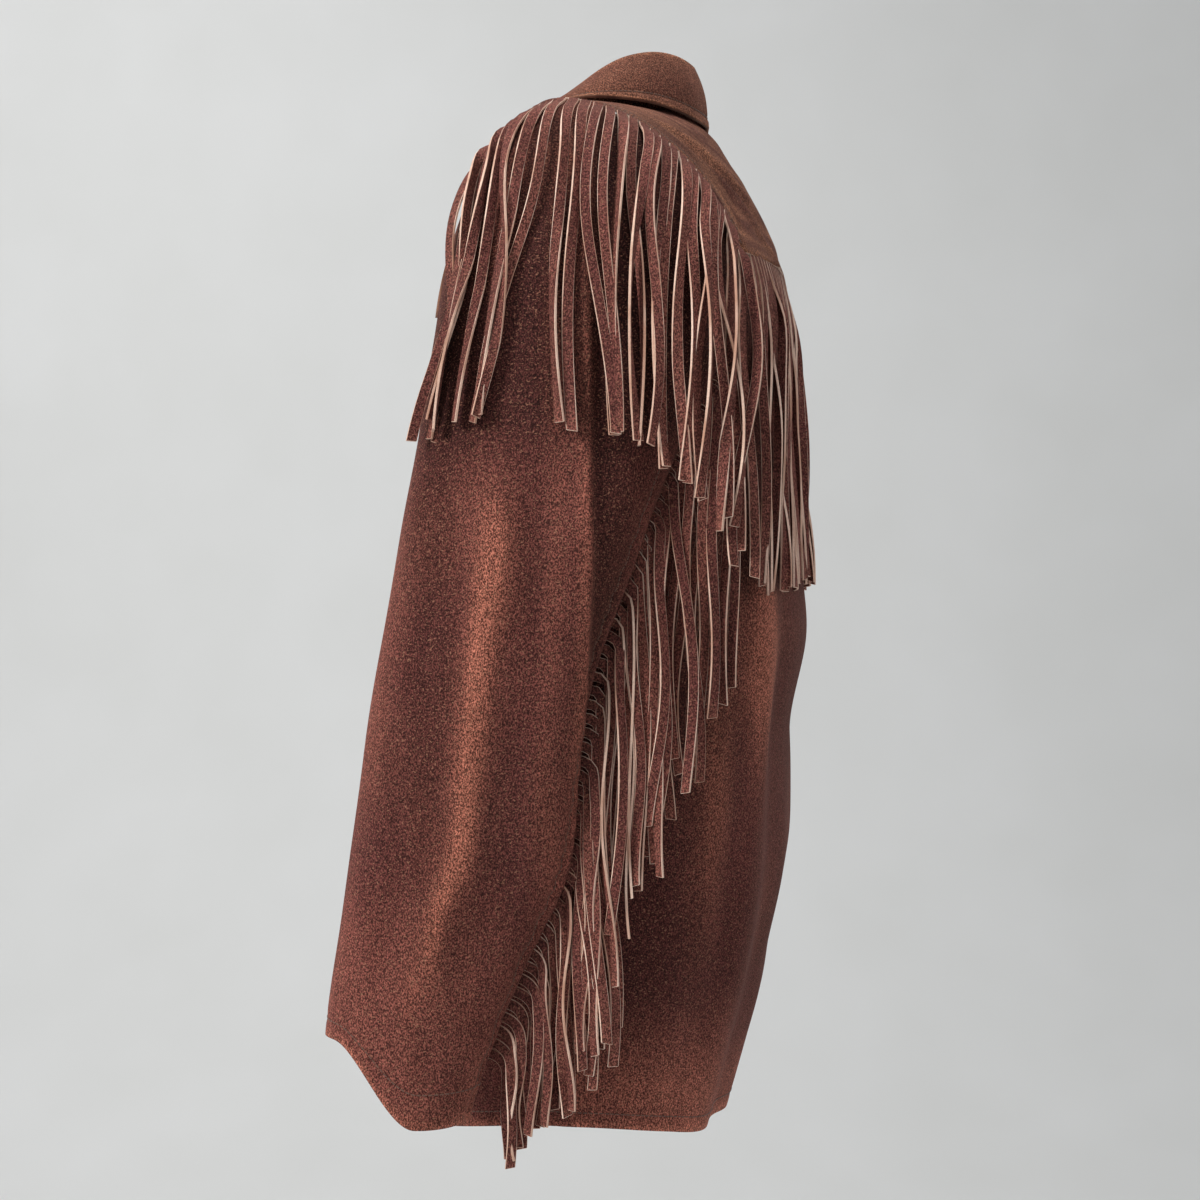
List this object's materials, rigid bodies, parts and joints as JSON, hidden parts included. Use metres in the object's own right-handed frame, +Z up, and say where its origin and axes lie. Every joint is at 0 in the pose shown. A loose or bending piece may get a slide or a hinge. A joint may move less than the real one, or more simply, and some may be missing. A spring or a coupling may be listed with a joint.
{
  "type": "fringed suede jacket",
  "caption": "Hip-length suede jacket with a turned-down collar, buttoned front and cut fringes on its shoulders, back yoke and sleeve seams.",
  "frame": {"origin": "middle of the neck opening, level with the top of the shoulders just above the collar seam at the back, where the jacket hangs on a neck or a hanger", "axes": "+Z up along the back, front faces -Y, the wearer's left is +X"},
  "size_m": [0.6076, 0.3106, 0.78],
  "materials": {
    "back_panel": "suede, worn nap",
    "yoke": "suede, worn nap",
    "front_left": "suede, worn nap",
    "front_right": "suede, worn nap",
    "collar_stand": "suede, worn nap",
    "collar_fall": "suede, worn nap",
    "top_sleeve_left": "suede, worn nap",
    "top_sleeve_right": "suede, worn nap",
    "under_sleeve_left": "suede, worn nap",
    "under_sleeve_right": "suede, worn nap",
    "shoulder_fringe_left": "suede, cut into strips",
    "shoulder_fringe_right": "suede, cut into strips",
    "back_fringe": "suede, cut into strips",
    "sleeve_fringe_left": "suede, cut into strips",
    "sleeve_fringe_right": "suede, cut into strips",
    "button_1": "polished dark horn-like plastic",
    "button_2": "polished dark horn-like plastic",
    "button_3": "polished dark horn-like plastic",
    "button_4": "polished dark horn-like plastic",
    "button_5": "polished dark horn-like plastic",
    "button_6": "polished dark horn-like plastic"
  },
  "bodies": {
    "root": {"back_panel": "back_panel", "yoke": "yoke", "front_left": "front_left", "front_right": "front_right", "collar_stand": "collar_stand", "collar_fall": "collar_fall", "top_sleeve_left": "top_sleeve_left", "top_sleeve_right": "top_sleeve_right", "under_sleeve_left": "under_sleeve_left", "under_sleeve_right": "under_sleeve_right", "shoulder_fringe_left": "shoulder_fringe_left", "shoulder_fringe_right": "shoulder_fringe_right", "back_fringe": "back_fringe", "sleeve_fringe_left": "sleeve_fringe_left", "sleeve_fringe_right": "sleeve_fringe_right", "button_1": "button_1", "button_2": "button_2", "button_3": "button_3", "button_4": "button_4", "button_5": "button_5", "button_6": "button_6"}
  },
  "joints": []
}
